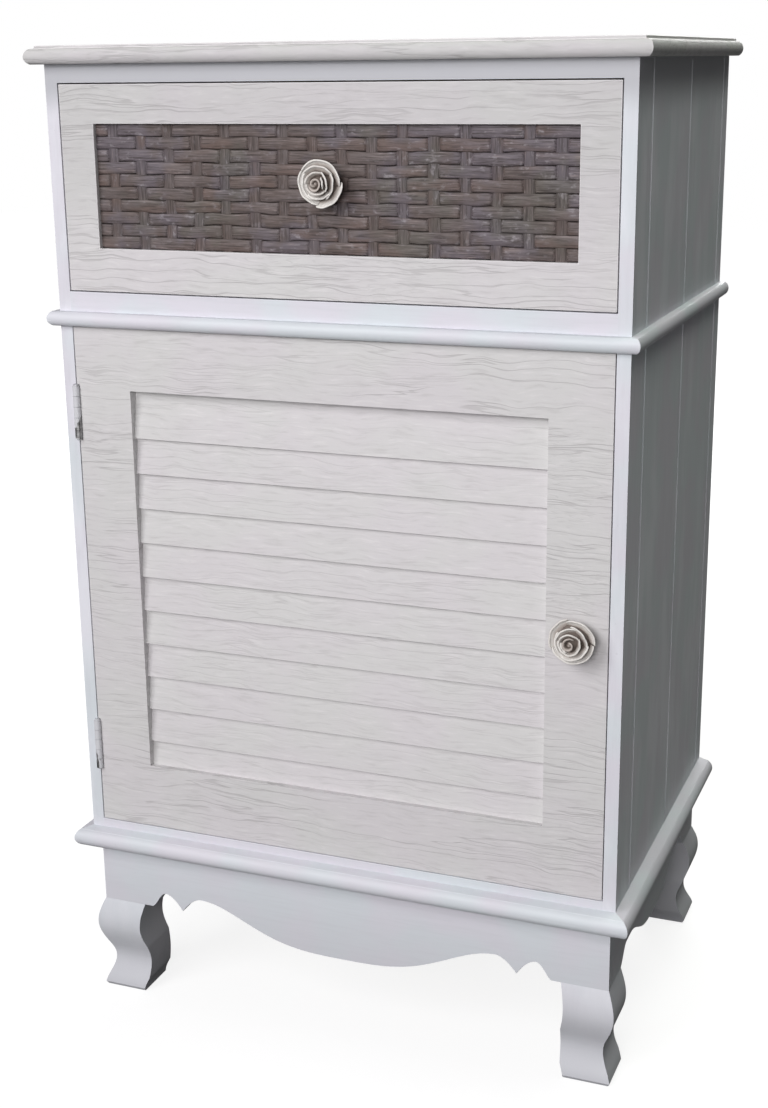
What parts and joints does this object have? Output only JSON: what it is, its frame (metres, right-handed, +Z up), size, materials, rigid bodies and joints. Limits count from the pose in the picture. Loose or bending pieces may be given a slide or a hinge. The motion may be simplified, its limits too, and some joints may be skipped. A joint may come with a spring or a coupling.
{
  "type": "bedside pot cupboard",
  "caption": "Painted bedside pot cupboard on cabriole legs, with a woven-front drawer over a louvred side-hinged door, both with rose-shaped knobs.",
  "frame": {"origin": "on the floor, at the centre of the outline with the knobs counted in", "axes": "+Z up, -Y to the front where the drawer and the door open, +X to the right seen from the front"},
  "size_m": [0.425, 0.309, 0.7],
  "materials": {
    "smooth_paint": "smooth satin paint, cool white",
    "crackle_paint": "brushed crackle paint, warm grey-white",
    "bare_wood": "plain sanded wood",
    "rattan": "flat woven cane, grey-brown",
    "resin": "cast resin with a dark wash in the grooves",
    "steel": "zinc-plated steel",
    "catch_plastic": "moulded white plastic"
  },
  "bodies": {
    "carcass": {"top_board": "crackle_paint", "side_panel_left": "smooth_paint", "side_panel_right": "smooth_paint", "back_panel": "bare_wood", "front_rail_top": "smooth_paint", "front_rail_middle": "smooth_paint", "front_rail_bottom": "smooth_paint", "back_rail_top": "bare_wood", "divider_board": "bare_wood", "floor_board": "bare_wood", "waist_moulding_front": "smooth_paint", "waist_moulding_left": "smooth_paint", "waist_moulding_right": "smooth_paint", "base_moulding_front": "smooth_paint", "base_moulding_left": "smooth_paint", "base_moulding_right": "smooth_paint", "apron_front": "smooth_paint", "apron_left": "smooth_paint", "apron_right": "smooth_paint", "apron_back": "smooth_paint", "leg_front_left": "smooth_paint", "leg_front_right": "smooth_paint", "leg_back_left": "smooth_paint", "leg_back_right": "smooth_paint", "drawer_runner_left": "bare_wood", "drawer_runner_right": "bare_wood", "runner_screws": "steel", "top_screws": "steel", "magnet_catch": "catch_plastic", "catch_screws": "steel", "hinge_frame_leaf_upper": "steel", "hinge_frame_leaf_lower": "steel", "hinge_pin_upper": "steel", "hinge_pin_lower": "steel", "hinge_frame_screws": "steel"},
    "drawer": {"drawer_rail_top": "crackle_paint", "drawer_rail_bottom": "crackle_paint", "drawer_stile_left": "crackle_paint", "drawer_stile_right": "crackle_paint", "wicker_stakes": "rattan", "wicker_weavers": "rattan", "wicker_backing": "bare_wood", "drawer_side_left": "bare_wood", "drawer_side_right": "bare_wood", "drawer_back": "bare_wood", "drawer_bottom": "bare_wood", "drawer_rose_knob": "resin", "drawer_knob_screw": "steel"},
    "door": {"door_stile_left": "crackle_paint", "door_stile_right": "crackle_paint", "door_rail_top": "crackle_paint", "door_rail_bottom": "crackle_paint", "louvre_slats": "crackle_paint", "door_rose_knob": "resin", "door_knob_screw": "steel", "hinge_door_leaf_upper": "steel", "hinge_door_leaf_lower": "steel", "door_screws": "steel", "strike_plate": "steel"}
  },
  "joints": [
    {"name": "drawer_slide", "type": "slide", "parent": "carcass", "child": "drawer", "axis": [0, -1, 0], "range_m": [0, 0.2]},
    {"name": "door_hinge", "type": "hinge", "parent": "carcass", "child": "door", "pos_m": [-0.1921, -0.1335, 0.3285], "axis": [0, 0, -1], "range_deg": [0, 175]}
  ]
}
